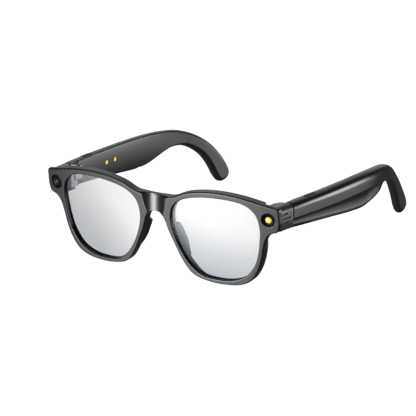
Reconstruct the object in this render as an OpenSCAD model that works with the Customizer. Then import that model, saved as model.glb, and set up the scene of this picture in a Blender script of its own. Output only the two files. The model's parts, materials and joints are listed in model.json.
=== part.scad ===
// Smart glasses with thick folding temples, a camera and an indicator light.
// +X is the wearer's left, the front faces -Y and +Z is up.
// The glasses stand on the lower rims and the temple tips, on the plane z = 0.

/* [Front] */
// Depth of the front shell of the rims
front_shell_t = 2.4; // [2.3:0.1:2.6]
// Depth of the rear shell of the rims
rear_shell_t = 2.8; // [2.6:0.1:3]
// Radius of the wrap of the front, seen from above
wrap_r = 441; // [420:1:460]
// Lean of the front's top away from the face
lean = 7.1; // [6.5:0.1:7.6]
// Half of the width of the bridge's recess at its top
bridge_half_w = 7.4; // [6.8:0.1:7.6]
// Depth of the bridge's recess at its underside
bridge_recess = 1.2; // [1:0.1:1.3]
// Slope of the recess's floor, which gets deeper towards its top
bridge_slope = 4; // [3:0.5:4.5]
// Radius of the recess's hollow floor
bridge_floor_r = 12; // [11:0.5:16]

/* [Lenses] */
// Thickness of a lens
lens_t = 1.9; // [1.7:0.1:2]
// Depth of a lens behind the front of the rims
lens_set = 1.4; // [1.2:0.1:1.5]
// Reach of a lens into its groove
lens_lip = 0.7; // [0.5:0.1:0.8]

/* [Camera and light] */
// Distance of the camera and the light from the middle
port_x = 66.4; // [66.2:0.1:66.6]
// Height of the camera and the light on the front
port_z = 13.2; // [13:0.1:13.4]
// Radius of the two bezel rings
bezel_r = 3.8; // [3.6:0.1:3.9]
// Radius of the camera window
camera_window_r = 2.8; // [2.7:0.1:2.9]
// Radius of the light's window
light_window_r = 2; // [1.8:0.1:2.2]

/* [Hinges] */
// Distance of a hinge pin from the middle
hinge_x = 65.2; // [65.1:0.1:65.3]
// Distance of the hinge pins behind the front
hinge_y = 17.2; // [17.1:0.1:17.3]
// Radius of the hinge knuckles
knuckle_r = 2.3; // [2.2:0.1:2.4]
// Radius of the hinge pins
pin_r = 0.8; // [0.7:0.1:0.9]

/* [Temples] */
// Distance of the temples' front edge behind the front
temple_y = 17.8; // [17.7:0.1:17.9]
// Share of the thickness that the outer shell takes
shell_share = 0.58; // [0.56:0.01:0.6]
// Wall of the outer shell
shell_wall = 1.6; // [1.5:0.1:1.7]
// Wall of the inner cover
cover_wall = 1.1; // [1:0.1:1.2]
// Depth of the recess in the outer face
recess = 0.6; // [0.4:0.1:0.7]

/* [Buttons] */
// Length of a button's cap
button_l = 9; // [8.6:0.1:9.2]
// Width of a button's cap
button_w = 2.4; // [2.2:0.1:2.5]
// Distance of the buttons behind the front
button_y = 35.5; // [35:0.5:36]

/* [Hidden] */

// How the glasses stand: they tip back until rims and temple tips meet the ground
stand_tilt = -2.378;
stand_y = -78.204;
stand_z = 25.851;

front_t = front_shell_t + rear_shell_t;
big = 60;

// Right half of the front's outline, from the bridge's top to its underside: [x, z]
front_half = [
  [0, 18.2], [7, 18.4], [12, 18.9], [20, 22.2], [30, 24.1], [41, 24.5], [52, 23.5],
  [62, 21.5], [69, 20.1], [72.1, 19.2], [72.5, 15], [72.4, 10.5], [71, 7], [67.3, 5.5],
  [64.6, 2.3], [62.9, -3], [61.4, -9.6], [58.8, -16.2], [54.5, -22], [48, -25.1], [40, -26],
  [32, -25.8], [24, -24.2], [19, -21.3], [14.8, -15.5], [11.2, -8.4], [7.9, -1.2],
  [5.6, 5.2], [3.2, 8.1], [0, 8.7]];
// Outline of the right lens's opening
lens_opening = [
  [60.6, 0], [61.2, 7.5], [59.3, 15], [53, 19.9], [42, 21.4], [29, 20.9], [18.2, 18.5],
  [11.8, 13.8], [9.7, 6.5], [10.9, -1], [14.2, -9.2], [19.6, -17.4], [26.5, -22.4],
  [35, -23.6], [44, -22.9], [52, -19.5], [57.3, -12.6], [59.6, -5.8]];
// Side view of a temple: [y, z], clockwise from its front's top
temple_side = [
  [2, 20.7], [14, 20.6], [40, 20.5], [68, 20.3], [90, 19.9], [108, 18.8], [120, 16.8], [131, 12.7],
  [141, 6.4], [148.5, -0.3], [154.2, -6.9], [158, -12.5], [158.4, -16.4], [155.6, -19],
  [150.6, -19.2], [146.6, -15.2], [143.3, -9.8], [139.6, -4.6], [134.7, 0.6], [127.5, 5.4],
  [120, 8], [112, 8], [104, 5.3], [95, 2.5], [86, 1.5], [72, 2.4], [55, 4.1], [38, 5.6],
  [14, 7.3], [2, 7.9]];
// The hollow inside a temple, in the same view
temple_hollow = [
  [29, 18.4], [60, 18.2], [88, 17.9], [104, 16.6], [108.6, 14], [106, 10.4], [100, 7.4],
  [93, 5.2], [86, 4.3], [72, 5.2], [55, 6.8], [29, 9]];
// The part of a temple's outer face that is set back: its long upper edge is the crease
temple_recess = [
  [12, 11.6], [18, 11.4], [60, 10.3], [92, 9.9], [102, 9.6], [106, 0], [12, 0]];
// Outer face of the left temple, seen from above: [y, x]
temple_face = [
  [-6, 71.3], [8, 72.1], [25, 73.6], [45, 74.7], [68, 75.2], [90, 74.8], [105, 73.5], [118, 71],
  [130, 67.6], [142, 64.2], [155, 62], [170, 61.2]];
// Thickness of a temple along its length: [y, thickness]
temple_thickness = [[18, 6.4], [60, 6.1], [125, 5.8], [160, 5.2]];
// Middle line of the core wire in a temple's hook: [y, z]
core_line = [[111, 12.6], [120, 12.2], [130, 9.2], [140, 2.4], [147, -5], [152, -12.5]];
// Middle line of the flex cable in the rims, right half: [x, z]
flex_line = [
  [0, 15.2], [6, 15.6], [12, 17.2], [17.5, 20.1], [25, 22.2], [36, 23.3], [48, 22.8],
  [56, 21.1], [61, 18.6], [65.4, 16.4]];

// The seam between a temple's body and its tip is an arc about this point of the side view
seam_y = 118.5;
seam_z = 12.3;
seam_r = 6.7;

// Nose pads: place and turn of the right one, its section across: [x, depth], and its height
// along its length: [length, depth]
pad_x = 11.2;
pad_z = -6.6;
pad_turn = -24;
pad_section = [
  [0.3, 4.4], [-0.7, 6.4], [-0.8, 8], [-0.3, 9.4], [0.7, 10], [1.6, 9.4], [2.4, 7.8], [2.8, 5.8],
  [2.9, 4.4]];
pad_profile = [
  [-11, 4.4], [-9.5, 5.4], [-6.5, 6.6], [-3, 8.4], [1, 9.8], [5, 9.7], [8, 8.2], [9.7, 4.4]];

// Height of the bridge's underside
bridge_z = 8.7;

// Hinge blocks: the plane that they end at, their inner side, bottom and top
block_end_y = 17.4;
block_x0 = 62.9;
block_z0 = 7.4;
block_z1 = 20.5;
// Grooves in a block's outer face: height and length of each, and their width and depth
block_grooves = [[16.1, 11.1], [13.9, 12.9], [11.7, 10.8]];
groove_w = 0.9;
groove_depth = 0.5;

// Hinge leaves: thickness, and the places of the two screws of each
leaf_t = 1.2;
leaf_screw_r = 0.6;
screw_hole_r = leaf_screw_r + 0.02;
front_screw_y = 13.3;
front_screw_z = [10.6, 16.8];
temple_leaf_x = 66.7;
temple_screw_y = 24.6;
temple_screw_z = [11.6, 16];
// The front leaf has two knuckles, and the temple's knuckle lies between them
front_knuckle_z = [8.6, 15.6];
front_knuckle_h = 3.4;
temple_knuckle_z = [12.15, 15.45];
// Radius of the room round the knuckles
hinge_room_r = 2.9;
// The notch in the top of a temple, over its hinge
notch_x = 68.3;
notch_z = 18.7;
notch_end_y = 24.5;

// The flex cable's half width, depth behind the front shell and thickness
flex_w = 0.4;
flex_depth = 0.4;
flex_t = 0.3;

// Buttons: distance from the middle, turn that follows the outer face, bottom and height of
// the cap, and the flange below it
button_x = 70.75;
button_turn = -3;
button_cap_z = 17.9;
button_cap_h = 2.65;
button_flange = [9.8, 3, 0.6];

// Sound and power in a temple
speaker_slot_at = [71.2, 87.5];
speaker_slot_size = [8, 1.6];
mic_at = [70.9, 32];
contact_y = [52.2, 60];
contact_z = 12.9;
contact_r = 1.1;

// The core wire's half width and half thickness, and the room round it
core_w = 1.5;
core_half_t = 0.6;
core_room = 0.05;

// ---- Curves ----

// One span of a Catmull-Rom curve, from b to c
function span(a, b, c, d, t) =
  (2 * b + (c - a) * t + (2 * a - 5 * b + 4 * c - d) * t * t + (3 * b - a - 3 * c + d) * t * t * t) / 2;
// Smooth closed curve through the points, with n steps to a span
function loop_curve(p, n) = let(m = len(p))
  [for (i = [0 : m - 1]) for (k = [0 : n - 1])
    span(p[(i + m - 1) % m], p[i], p[(i + 1) % m], p[(i + 2) % m], k / n)];
// Smooth open curve through the points
function open_curve(p, n) = let(m = len(p)) concat(
  [for (i = [0 : m - 2]) for (k = [0 : n - 1])
    span(p[max(i - 1, 0)], p[i], p[i + 1], p[min(i + 2, m - 1)], k / n)],
  [p[m - 1]]);
function flip(p) = [for (q = p) [-q[0], q[1]]];
function backwards(p) = [for (i = [len(p) - 1 : -1 : 0]) p[i]];
function middle(p) = [for (i = [1 : len(p) - 2]) p[i]];
// Unit normal to the left of the way from a to b
function left_of(a, b) = [a[1] - b[1], b[0] - a[0]] / norm(b - a);
// A closed outline moved outwards by d, where it runs anticlockwise for d > 0
function grown(p, d) = let(m = len(p))
  [for (i = [0 : m - 1]) p[i] - d * left_of(p[(i + m - 1) % m], p[(i + 1) % m])];
// A band of half width w along an open curve
function ribbon(p, w) = let(m = len(p), side = [for (i = [0 : m - 1])
  w * left_of(p[max(i - 1, 0)], p[min(i + 1, m - 1)])])
  concat([for (i = [0 : m - 1]) p[i] + side[i]], [for (i = [m - 1 : -1 : 0]) p[i] - side[i]]);

front_outline = loop_curve(concat(front_half, flip(backwards(middle(front_half)))), 5);
opening_outline = loop_curve(lens_opening, 7);
lens_outline = grown(opening_outline, lens_lip);
groove_outline = grown(opening_outline, lens_lip + 0.05);
side_outline = loop_curve(temple_side, 6);
hollow_outline = loop_curve(temple_hollow, 4);
face_curve = open_curve(temple_face, 6);
flex_path = concat(flip(backwards(open_curve(flex_line, 4))), [for (i = [1 : 4 * (len(flex_line) - 1)])
  open_curve(flex_line, 4)[i]]);

function thickness(y) = lookup(y, temple_thickness);

// ---- Frames and tools ----

// From the frame of the open temples to the standing glasses
module stand() { translate([0, stand_y, stand_z]) rotate([stand_tilt, 0, 0]) children(); }
// From the front's own frame, where y is the depth behind its middle, to that of the temples
module front_frame() { rotate([lean, 0, 0]) children(); }
module on_side(side) { if (side > 0) children(); else mirror([1, 0, 0]) children(); }
module both_sides() { children(); mirror([1, 0, 0]) children(); }
// An outline in the front's plane, cut right through it
module through_front(p) { translate([0, 15, 0]) rotate([90, 0, 0]) linear_extrude(20) polygon(p); }
// Everything between two depths behind the curved front
module layer(d0, d1) {
  translate([0, wrap_r, -big / 2]) difference() {
    cylinder(r = wrap_r - d0, h = big, $fn = 720);
    translate([0, 0, -1]) cylinder(r = wrap_r - d1, h = big + 2, $fn = 720);
  }
}
// A disc about the port's axis, from depth y0 to y1
module port_disc(r, y0, y1) {
  translate([port_x, y1, port_z]) rotate([90, 0, 0]) cylinder(r = r, h = y1 - y0, $fn = 64);
}
// An outline of a temple's side view, cut right through it
module through_side(p) {
  translate([big / 2 + 20, 0, 0]) rotate([90, 0, 90]) linear_extrude(big) polygon(p);
}
// Everything in a temple between two depths below its outer face, each a share of the
// thickness and a distance
module slab(share0, depth0, share1, depth1) {
  translate([0, 0, -big / 2]) linear_extrude(big) polygon(concat(
    [for (q = face_curve) [q[1] - share0 * thickness(q[0]) - depth0, q[0]]],
    [for (q = backwards(face_curve)) [q[1] - share1 * thickness(q[0]) - depth1, q[0]]]));
}
module stadium(l, w, h) {
  translate([-w / 2, -(l - w) / 2, 0]) cube([w, l - w, h]);
  for (s = [-1, 1]) translate([0, s * (l - w) / 2, 0]) cylinder(d = w, h = h, $fn = 32);
}
module round_hinge(r, z0, z1) {
  translate([hinge_x, hinge_y, z0]) cylinder(r = r, h = z1 - z0, $fn = 48);
}
module cross_screw(x0, x1, y, z, r) {
  translate([x0, y, z]) rotate([0, 90, 0]) cylinder(r = r, h = x1 - x0, $fn = 32);
}

// ---- Front ----

// The recess of the bridge: a hollow floor that leans back, wider above than below
module bridge_cut() {
  reach = bridge_half_w + 0.6;
  floor_points = [for (i = [-8 : 8]) let(x = i * reach / 8)
    [x, bridge_recess - x * x / (2 * bridge_floor_r)]];
  wall = [[5, bridge_z - 2], [bridge_half_w, 14], [bridge_half_w, 22]];
  intersection() {
    through_front(concat(wall, flip(backwards(wall))));
    translate([0, 0, bridge_z]) rotate([-bridge_slope, 0, 0]) translate([0, 0, -big / 2])
      linear_extrude(big) polygon(concat([[-reach, -4]], floor_points, [[reach, -4]]));
  }
}
// The groove that the flex cable lies in
module flex_groove() {
  intersection() {
    through_front(ribbon(flex_path, flex_w + 0.15));
    layer(front_shell_t - 0.1, front_shell_t + flex_depth + flex_t + 0.4);
  }
}
module front_shell() {
  color("#3d3f41") stand() front_frame() difference() {
    intersection() { through_front(front_outline); layer(0, front_shell_t); }
    both_sides() {
      through_front(opening_outline);
      intersection() { through_front(groove_outline); layer(lens_set - 0.05, front_t); }
      port_disc(bezel_r + 0.05, 0, 12);
    }
    bridge_cut();
  }
}
module rear_shell() {
  color("#2b2d2f") stand() front_frame() difference() {
    intersection() {
      through_front(front_outline);
      layer(front_shell_t, front_t);
      translate([-block_x0 + 0.1, -5, -big / 2]) cube([2 * block_x0 - 0.2, big / 2, big]);
    }
    both_sides() {
      through_front(opening_outline);
      intersection() { through_front(groove_outline); layer(0, lens_set + lens_t + 0.05); }
    }
    flex_groove();
  }
}
module lens(side) {
  color("#dfe6ec", 0.4) stand() front_frame() on_side(side)
    intersection() { through_front(lens_outline); layer(lens_set, lens_set + lens_t); }
}
// A pad is a long fin along the nose side of its rim, highest above its middle
module nose_pad(side) {
  color("#242628") stand() front_frame() on_side(side) intersection() {
    layer(front_t, front_t + 8);
    translate([pad_x, 0, pad_z]) rotate([0, pad_turn, 0]) intersection() {
      translate([0, 0, -big / 2]) linear_extrude(big) polygon(open_curve(pad_section, 4));
      translate([-10, 0, 0]) rotate([90, 0, 90]) linear_extrude(20)
        polygon([for (q = open_curve(pad_profile, 4)) [q[1], q[0]]]);
    }
  }
}
// Housing behind an end piece, open at the front, with three grooves in its outer face
module hinge_block(side) {
  color("#5a5d60") stand() on_side(side) difference() {
    intersection() {
      translate([block_x0, 0, block_z0]) cube([12, block_end_y, block_z1 - block_z0]);
      slab(0, 0, 0, 12);
      front_frame() translate([0, wrap_r, -big / 2])
        cylinder(r = wrap_r - front_shell_t, h = big, $fn = 720);
    }
    translate([block_x0 + 0.8, 0, 9]) cube([6.9, 11.5, 8.6]);
    round_hinge(hinge_room_r, 0, 30);
    translate([block_x0 - 1, 11.8, 8.7]) cube([leaf_t + 1.05, 4, 10.4]);
    intersection() {
      slab(0, -1, 0, groove_depth);
      for (g = block_grooves) translate([big, 0, g[0] - groove_w / 2]) cube([20, g[1], groove_w]);
    }
    for (z = front_screw_z) cross_screw(block_x0, 66.6, front_screw_y, z, screw_hole_r);
    front_frame() flex_groove();
  }
}
module front_flex() {
  color("#b3702a") stand() front_frame() intersection() {
    through_front(ribbon(flex_path, flex_w));
    layer(front_shell_t + flex_depth, front_shell_t + flex_depth + flex_t);
  }
}

// ---- Camera and light ----

module camera_bezel() {
  color("#0d0d0f") stand() front_frame() mirror([1, 0, 0]) difference() {
    intersection() { port_disc(bezel_r, 0, 12); layer(0, front_shell_t - 0.1); }
    port_disc(camera_window_r + 0.05, 0, 12);
  }
}
module camera_window() {
  color("#3a2446") stand() front_frame() mirror([1, 0, 0])
    intersection() { port_disc(camera_window_r, 0, 12); layer(0.3, 1); }
}
module camera_module() {
  color("#17181a") stand() front_frame() mirror([1, 0, 0]) {
    port_disc(2.5, 6.8, 12);
    port_disc(1.7, 6.5, 6.8);
  }
}
module camera_board() {
  color("#1d5b3a") stand() front_frame()
    translate([-port_x - 2.6, 12, port_z - 3]) cube([5.2, 0.6, 5.7]);
}
module light_bezel() {
  color("#121213") stand() front_frame() difference() {
    intersection() { port_disc(bezel_r, 0, 12); layer(0, front_shell_t - 0.1); }
    port_disc(light_window_r + 0.05, 0, 12);
  }
}
module light_window() {
  color("#d8dc66") stand() front_frame()
    intersection() { port_disc(light_window_r, 0, 12); layer(-0.15, 1.6); }
}
module light_board() {
  color("#1d5b3a") stand() front_frame() translate([port_x, 8.6, port_z]) {
    translate([-2.6, 0, -2.6]) cube([5.2, 0.6, 5.2]);
    translate([-0.9, -0.8, -0.9]) cube([1.8, 0.8, 1.8]);
  }
}

// ---- Hinges ----

module front_leaf(side) {
  color("#9a9c9e") stand() on_side(side) difference() {
    union() {
      translate([block_x0, 11.9, 8.8]) cube([leaf_t, 2.4, 10.2]);
      for (z = front_knuckle_z) {
        round_hinge(knuckle_r, z, z + front_knuckle_h);
        translate([block_x0, 14, z + 0.2]) cube([leaf_t, hinge_y - 14, front_knuckle_h - 0.2]);
      }
    }
    round_hinge(pin_r + 0.03, 0, 30);
    for (z = front_screw_z) cross_screw(block_x0 - 1, 66, front_screw_y, z, screw_hole_r);
  }
}
module front_leaf_screws() {
  color("#77797b") stand() both_sides() for (z = front_screw_z)
    cross_screw(block_x0 - 0.1, 66.5, front_screw_y, z, leaf_screw_r);
}
module hinge_pin(side) {
  color("#c8cacc") stand() on_side(side) {
    round_hinge(pin_r, 8.4, 19);
    round_hinge(1.6, 19, 19.6);
  }
}
module temple_leaf(side) {
  color("#9a9c9e") stand() on_side(side) difference() {
    union() {
      translate([temple_leaf_x, 19.6, 10.1]) cube([leaf_t, 7.4, 7.4]);
      translate([temple_leaf_x, hinge_y, 12.2]) cube([leaf_t, 3, 3.2]);
      round_hinge(knuckle_r, temple_knuckle_z[0], temple_knuckle_z[1]);
    }
    round_hinge(pin_r + 0.05, 0, 30);
    for (z = temple_screw_z) cross_screw(66, 70, temple_screw_y, z, screw_hole_r);
  }
}
module temple_leaf_screws(side) {
  color("#77797b") stand() on_side(side)
    for (z = temple_screw_z) cross_screw(66.6, 69.2, temple_screw_y, z, leaf_screw_r);
}

// ---- Temples ----

module button_slot() {
  translate([button_x, button_y, 10]) rotate([0, 0, button_turn])
    stadium(button_l + 0.3, button_w + 0.3, 15);
}
module hollow() { through_side(hollow_outline); }
module speaker_slot() {
  translate(speaker_slot_at) stadium(speaker_slot_size[0], speaker_slot_size[1], 8);
}
module mic_hole() { translate(mic_at) cylinder(r = 0.4, h = 12, $fn = 24); }
// The core wire, with some room round it
module core_strip(room) {
  intersection() {
    through_side(ribbon(open_curve(core_line, 6), core_w + room));
    slab(0.5, -core_half_t - room, 0.5, core_half_t + room);
  }
}
// The side view in front of the seam
module body_region() {
  through_side([[temple_y, -big / 2], [seam_y, -big / 2], [seam_y, big / 2], [temple_y, big / 2]]);
  translate([30, seam_y, seam_z]) rotate([0, 90, 0]) cylinder(r = seam_r, h = big, $fn = 96);
}
// Room for the front's knuckles, and the notch over them
module hinge_clearance() {
  round_hinge(hinge_room_r, 0, 30);
  translate([60, temple_y - 1, notch_z]) cube([notch_x - 60, notch_end_y - temple_y + 1, 5]);
  translate([60, hinge_y, 12]) cube([8, 3.2, 3.6]);
}
module temple_shell(side) {
  color("#47494b") stand() on_side(side) difference() {
    intersection() {
      through_side(side_outline);
      slab(0, 0, shell_share, 0);
      body_region();
    }
    intersection() { hollow(); slab(0, shell_wall, 1, 0); }
    intersection() { through_side(temple_recess); slab(0, -1, 0, recess); }
    button_slot();
    speaker_slot();
    mic_hole();
    hinge_clearance();
    core_strip(core_room);
  }
}
module temple_cover(side) {
  color("#3f4143") stand() on_side(side) difference() {
    intersection() {
      through_side(side_outline);
      slab(shell_share, 0, 1, 0);
      body_region();
    }
    intersection() { hollow(); slab(0, 0, 1, -cover_wall); }
    button_slot();
    speaker_slot();
    hinge_clearance();
    core_strip(core_room);
    translate([60, 19.5, 10]) cube([7.95, 7.6, 7.6]);
    for (z = temple_screw_z) cross_screw(66, 69.3, temple_screw_y, z, screw_hole_r);
    if (side < 0) for (y = contact_y) cross_screw(66, 72, y, contact_z, contact_r + 0.05);
  }
}
module temple_tip(side) {
  color("#3a3c3e") stand() on_side(side) difference() {
    intersection() { through_side(side_outline); slab(0, 0, 1, 0); }
    body_region();
    through_side([[0, -big / 2], [seam_y, -big / 2], [seam_y, big / 2], [0, big / 2]]);
    core_strip(core_room);
  }
}
module tip_core(side) { color("#8d8f91") stand() on_side(side) core_strip(0); }

// ---- In the temples ----

module button(side) {
  color("#1c1d1f") stand() on_side(side) translate([button_x, button_y, 0])
    rotate([0, 0, button_turn]) {
    translate([0, 0, button_cap_z]) stadium(button_l, button_w, button_cap_h);
    translate([0, 0, button_cap_z - button_flange[2]])
      stadium(button_flange[0], button_flange[1], button_flange[2]);
  }
}
module button_switch(side) {
  color("#8f8f86") stand() on_side(side) translate([button_x, button_y, 0]) {
    translate([-1.5, -2.2, 15.8]) cube([3, 4.4, 0.6]);
    translate([0, 0, 16.4]) cylinder(r = 1.1, h = 0.4, $fn = 32);
  }
}
module circuit_board(side) {
  color("#1d5b3a") stand() on_side(side) {
    translate([70, 35, 9.4]) cube([0.8, 17, 6.2]);
    translate([70.8, 37, 10.6]) cube([1, 6, 4]);
    translate([70.8, 45, 10.6]) cube([0.8, 4, 4]);
  }
}
module battery(side) {
  color("#c9ccd0") stand() on_side(side) translate([70.35, 54, 7.6]) cube([2.7, 37, 9.6]);
}
module speaker(side) {
  color("#2a2b2d") stand() on_side(side) translate([69.9, 92, 8.8]) cube([1.7, 10, 6.4]);
}
module speaker_mesh(side) {
  color("#55585a") stand() on_side(side) translate(concat(speaker_slot_at, 2.6))
    stadium(speaker_slot_size[0] - 0.1, speaker_slot_size[1] - 0.1, 0.4);
}
module microphone(side) {
  color("#a9abad") stand() on_side(side) difference() {
    translate([mic_at[0] - 1.3, mic_at[1] - 1.4, 9.4]) cube([2.4, 3.2, 1]);
    translate(concat(mic_at, 9)) cylinder(r = 0.3, h = 0.9, $fn = 24);
  }
}
module charge_contacts() {
  color("#e6c25a") stand() mirror([1, 0, 0]) for (y = contact_y)
    cross_screw(68.6, 69.95, y, contact_z, contact_r);
}

front_shell();
rear_shell();
lens(1);  // lens_left
lens(-1);  // lens_right
nose_pad(1);  // nose_pad_left
nose_pad(-1);  // nose_pad_right
hinge_block(1);  // hinge_block_left
hinge_block(-1);  // hinge_block_right
camera_bezel();
camera_window();
camera_module();
camera_board();
light_bezel();
light_window();
light_board();
front_flex();
front_leaf(1);  // front_leaf_left
front_leaf(-1);  // front_leaf_right
front_leaf_screws();
hinge_pin(1);  // hinge_pin_left
hinge_pin(-1);  // hinge_pin_right
temple_shell(1);  // temple_shell_left
temple_cover(1);  // temple_cover_left
temple_tip(1);  // temple_tip_left
tip_core(1);  // tip_core_left
temple_leaf(1);  // temple_leaf_left
temple_leaf_screws(1);  // temple_leaf_screws_left
button(1);  // button_left
button_switch(1);  // button_switch_left
circuit_board(1);  // circuit_board_left
battery(1);  // battery_left
speaker(1);  // speaker_left
speaker_mesh(1);  // speaker_mesh_left
microphone(1);  // microphone_left
temple_shell(-1);  // temple_shell_right
temple_cover(-1);  // temple_cover_right
temple_tip(-1);  // temple_tip_right
tip_core(-1);  // tip_core_right
temple_leaf(-1);  // temple_leaf_right
temple_leaf_screws(-1);  // temple_leaf_screws_right
button(-1);  // button_right
button_switch(-1);  // button_switch_right
circuit_board(-1);  // circuit_board_right
battery(-1);  // battery_right
speaker(-1);  // speaker_right
speaker_mesh(-1);  // speaker_mesh_right
microphone(-1);  // microphone_right
charge_contacts();
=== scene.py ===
"""Looks of the smart glasses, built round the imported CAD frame.

Sizes are in millimetres in the frame of the open temples: X is the wearer's left, Y runs back
along the temples and Z is up. place() takes them to the standing glasses, in metres.
"""

import json
import math

import bpy
import numpy as np
from mathutils import Matrix, Vector


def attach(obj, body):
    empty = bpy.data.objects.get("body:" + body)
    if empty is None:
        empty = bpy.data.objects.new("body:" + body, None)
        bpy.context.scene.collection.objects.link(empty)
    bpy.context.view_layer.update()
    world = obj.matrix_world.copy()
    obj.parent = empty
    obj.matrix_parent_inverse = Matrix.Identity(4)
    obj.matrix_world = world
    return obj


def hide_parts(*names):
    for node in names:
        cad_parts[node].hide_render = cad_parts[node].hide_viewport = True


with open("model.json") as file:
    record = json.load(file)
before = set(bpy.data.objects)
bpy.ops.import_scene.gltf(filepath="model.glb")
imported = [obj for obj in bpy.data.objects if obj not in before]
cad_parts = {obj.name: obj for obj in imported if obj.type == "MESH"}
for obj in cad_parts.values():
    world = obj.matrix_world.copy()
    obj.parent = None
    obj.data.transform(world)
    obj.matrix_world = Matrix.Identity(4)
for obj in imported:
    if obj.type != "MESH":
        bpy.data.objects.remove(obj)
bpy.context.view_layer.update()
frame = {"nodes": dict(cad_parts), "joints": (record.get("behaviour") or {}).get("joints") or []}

# ---- Sizes, as in the CAD model apart from the three that say otherwise ----

MM = 0.001
GAP = 0.05
SHARP_EDGE = 0.08
LEAN = math.radians(7.1)
WRAP_R = 441.0
FRONT_T = 2.4
RIM_T = 5.2
LENS_SET = 1.4
LENS_T = 1.9
LENS_LIP = 0.7
PORT = (66.4, 13.2)
BEZEL_R = 3.8
BRIDGE_HALF_W = 7.4
BRIDGE_LOW_HALF_W = 5.0
BRIDGE_RECESS = 1.2
# The CAD model has 4 degrees
BRIDGE_SLOPE = math.radians(7)
BRIDGE_FLOOR_R = 12.0
BRIDGE_Z = 8.7
BRIDGE_NARROW_Z = 6.7
BRIDGE_WIDE_Z = 14.0
HINGE = (65.2, 17.2, 14.0)
HINGE_ROOM_R = 2.9
TEMPLE_Y = 17.8
SHELL_SHARE = 0.58
SEAM = (118.5, 12.3, 6.7)
BUTTON = (70.75, 35.5)
BUTTON_TURN = math.radians(-3)
BUTTON_L = 9.0
BUTTON_W = 2.4
BUTTON_Z = (17.9, 20.55)
BLOCK_X = 62.9
BLOCK_END_Y = 17.4
BLOCK_Z = (7.4, 20.5)
NOTCH = (68.3, 24.5, 18.7)
# Height of each groove and where it ends, 1.3 to 2.8 mm further back than in the CAD model
GROOVES = ((16.1, 12.4), (13.9, 15.2), (11.7, 13.6))
CONTACT_Y = (52.2, 60.0)
CONTACT_Z = 12.9
CONTACT_R = 1.1
SPEAKER_SLOT = (71.2, 87.5, 8.0, 1.6)
MIC = (70.9, 32.0)

FRONT_HALF = [
    (0, 18.2), (7, 18.4), (12, 18.9), (20, 22.2), (30, 24.1), (41, 24.5), (52, 23.5),
    (62, 21.5), (69, 20.1), (72.1, 19.2), (72.5, 15), (72.4, 10.5), (71, 7), (67.3, 5.5),
    (64.6, 2.3), (62.9, -3), (61.4, -9.6), (58.8, -16.2), (54.5, -22), (48, -25.1), (40, -26),
    (32, -25.8), (24, -24.2), (19, -21.3), (14.8, -15.5), (11.2, -8.4), (7.9, -1.2), (5.6, 5.2),
    (3.2, 8.1), (0, 8.7)]
LENS_OPENING = [
    (60.6, 0), (61.2, 7.5), (59.3, 15), (53, 19.9), (42, 21.4), (29, 20.9), (18.2, 18.5),
    (11.8, 13.8), (9.7, 6.5), (10.9, -1), (14.2, -9.2), (19.6, -17.4), (26.5, -22.4),
    (35, -23.6), (44, -22.9), (52, -19.5), (57.3, -12.6), (59.6, -5.8)]
TEMPLE_SIDE = [
    (2, 20.7), (14, 20.6), (40, 20.5), (68, 20.3), (90, 19.9), (108, 18.8), (120, 16.8),
    (131, 12.7), (141, 6.4), (148.5, -0.3), (154.2, -6.9), (158, -12.5), (158.4, -16.4),
    (155.6, -19), (150.6, -19.2), (146.6, -15.2), (143.3, -9.8), (139.6, -4.6), (134.7, 0.6),
    (127.5, 5.4), (120, 8), (112, 8), (104, 5.3), (95, 2.5), (86, 1.5), (72, 2.4), (55, 4.1),
    (38, 5.6), (14, 7.3), (2, 7.9)]
TEMPLE_HOLLOW = [
    (29, 18.4), (60, 18.2), (88, 17.9), (104, 16.6), (108.6, 14), (106, 10.4), (100, 7.4),
    (93, 5.2), (86, 4.3), (72, 5.2), (55, 6.8), (29, 9)]
# 1 mm higher than in the CAD model
CREASE = ((8, 12.7), (18, 12.4), (60, 11.4), (92, 11.0), (102, 10.7), (130, 10.5))
TEMPLE_FACE = [
    (-6, 71.3), (8, 72.1), (25, 73.6), (45, 74.7), (68, 75.2), (90, 74.8), (105, 73.5),
    (118, 71), (130, 67.6), (142, 64.2), (155, 62), (170, 61.2)]
TEMPLE_THICKNESS = [(18, 6.4), (60, 6.1), (125, 5.8), (160, 5.2)]

# The standing pose comes from the left hinge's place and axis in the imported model
fold_left = next(j for j in frame["joints"] if j["name"] == "fold_left")
hinge_up = Vector(fold_left["axis"]).normalized()
STAND_TURN = Matrix.Rotation(math.atan2(-hinge_up.y, hinge_up.z), 4, "X")
STAND_MOVE = Vector(fold_left["pos_m"]) - STAND_TURN @ (Vector(HINGE) * MM)
STAND = Matrix.Translation(STAND_MOVE) @ STAND_TURN


def place(points):
    """Points in millimetres, in the open temples' frame, to the standing glasses in metres."""
    turn = np.array(STAND.to_3x3())
    return points * MM @ turn.T + np.array(STAND.translation)


# ---- Curves ----

def smooth_curve(anchors, steps, closed=True):
    """Catmull-Rom curve through the anchors."""
    p = np.array(anchors, float)
    n = len(p)
    spans = n if closed else n - 1
    t = (np.arange(steps) / steps)[:, None]
    parts = []
    for i in range(spans):
        if closed:
            a, b, c, d = p[(i - 1) % n], p[i], p[(i + 1) % n], p[(i + 2) % n]
        else:
            a, b, c, d = p[max(i - 1, 0)], p[i], p[i + 1], p[min(i + 2, n - 1)]
        parts.append((2 * b + (c - a) * t + (2 * a - 5 * b + 4 * c - d) * t ** 2
                      + (3 * b - a - 3 * c + d) * t ** 3) / 2)
    if not closed:
        parts.append(p[-1:])
    return np.concatenate(parts)


def full_front():
    """The front's outline, both halves of it."""
    return FRONT_HALF + [(-x, z) for x, z in reversed(FRONT_HALF[1:-1])]


FACE_CURVE = smooth_curve(TEMPLE_FACE, 8, closed=False)


def face_x(y):
    """Distance of a temple's outer face from the middle."""
    return np.interp(y, FACE_CURVE[:, 0], FACE_CURVE[:, 1])


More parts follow.
